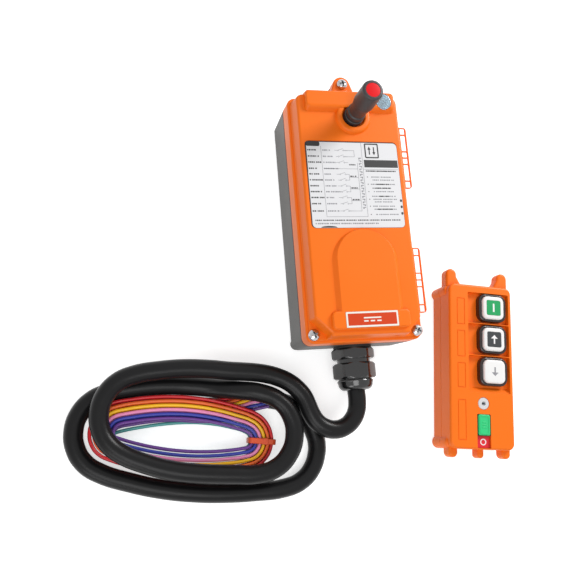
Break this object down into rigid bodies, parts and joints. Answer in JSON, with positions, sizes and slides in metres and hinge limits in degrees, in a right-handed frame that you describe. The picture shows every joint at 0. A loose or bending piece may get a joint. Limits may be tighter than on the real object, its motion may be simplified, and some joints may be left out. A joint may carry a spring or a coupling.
{
  "type": "crane radio remote control",
  "caption": "Radio remote control for a crane: receiver box with stub antenna, gland and coiled lead, and a hand transmitter with square push buttons and a slider.",
  "frame": {"origin": "centre of the receiver's flat back face, on the plane both units lie on", "axes": "+Y along the receiver towards its antenna end, +X across it towards the transmitter, +Z out of its face"},
  "size_m": [0.321, 0.2879, 0.099],
  "materials": {
    "orange": "satin moulded plastic",
    "dark_grey": "fine grain moulded plastic",
    "black_rubber": "matt",
    "screw_metal": "bright plated",
    "label": "printed film",
    "plate_red": "printed film",
    "clear": "clear plastic",
    "led": "tinted",
    "brass": "plain",
    "antenna_grey": "satin",
    "cap_red": "glossy",
    "board": "solder mask",
    "relay_blue": "glossy",
    "terminal_green": "plain",
    "ferrite": "wound",
    "sleeve_blue": "sleeved can",
    "spring_metal": "plated",
    "fuse_glass": "clear",
    "shield": "plated",
    "gland_black": "glossy",
    "cable_black": "satin jacket",
    "tie": "satin",
    "cap_white": "glossy",
    "green": "glossy",
    "charcoal": "plain",
    "stop_red": "glossy",
    "cell": "sleeved cell",
    "wire_brown": "satin insulation",
    "wire_red": "satin insulation",
    "wire_orange": "satin insulation",
    "wire_yellow": "satin insulation",
    "wire_green": "satin insulation",
    "wire_teal": "satin insulation",
    "wire_blue": "satin insulation",
    "wire_violet": "satin insulation",
    "wire_grey": "satin insulation",
    "wire_white": "satin insulation",
    "wire_black": "satin insulation",
    "wire_pink": "satin insulation"
  },
  "bodies": {
    "receiver": {"rear_case": "dark_grey", "case_seal": "black_rubber", "front_cover": "orange", "cover_screws": "screw_metal", "wiring_label": "label", "voltage_plate": "plate_red", "status_window": "clear", "status_led": "led", "antenna_socket": "brass", "antenna_stub": "antenna_grey", "antenna_cap": "cap_red", "antenna_lead": "black_rubber", "main_board": "board", "board_screws": "screw_metal", "relays": "relay_blue", "terminal_block": "terminal_green", "choke": "ferrite", "capacitors": "sleeve_blue", "fuse_clips": "spring_metal", "fuse": "fuse_glass", "radio_module": "shield", "gland_washer": "black_rubber", "gland_body": "gland_black", "gland_locknut": "gland_black", "gland_insert": "black_rubber", "gland_nut": "gland_black", "cable_lead": "cable_black", "cable_coil": "cable_black", "core_brown": "wire_brown", "core_red": "wire_red", "core_orange": "wire_orange", "core_yellow": "wire_yellow", "core_green": "wire_green", "core_teal": "wire_teal", "core_blue": "wire_blue", "core_violet": "wire_violet", "core_grey": "wire_grey", "core_white": "wire_white", "core_black": "wire_black", "core_pink": "wire_pink", "core_tie": "tie"},
    "handset": {"tx_front": "orange", "tx_back": "orange", "tx_board": "board", "tx_switches": "charcoal", "tx_surrounds": "black_rubber", "tx_window": "clear", "slide_switch": "charcoal", "stop_field": "stop_red", "battery_cells": "cell", "battery_contacts": "spring_metal"},
    "top_button": {"button_top": "cap_white", "inlay_top": "green"},
    "middle_button": {"button_middle": "cap_white", "inlay_middle": "charcoal"},
    "bottom_button": {"button_bottom": "cap_white"},
    "slider": {"slide_key": "green"},
    "battery_door": {"battery_cover": "orange"}
  },
  "joints": [
    {"name": "handset_lift", "type": "slide", "parent": "receiver", "child": "handset", "axis": [0, 0, 1], "range_m": [0, 0.15]},
    {"name": "top_press", "type": "slide", "parent": "handset", "child": "top_button", "axis": [0, 0, -1], "range_m": [0, 0.0015], "stiffness_N_per_m": 900, "springref_m": -0.001},
    {"name": "middle_press", "type": "slide", "parent": "handset", "child": "middle_button", "axis": [0, 0, -1], "range_m": [0, 0.0015], "stiffness_N_per_m": 900, "springref_m": -0.001},
    {"name": "bottom_press", "type": "slide", "parent": "handset", "child": "bottom_button", "axis": [0, 0, -1], "range_m": [0, 0.0015], "stiffness_N_per_m": 900, "springref_m": -0.001},
    {"name": "key_slide", "type": "slide", "parent": "handset", "child": "slider", "axis": [-0.1219, -0.9925, 0], "range_m": [0, 0.0086]},
    {"name": "door_slide", "type": "slide", "parent": "handset", "child": "battery_door", "axis": [-0.1219, -0.9925, 0], "range_m": [0, 0.058]}
  ]
}
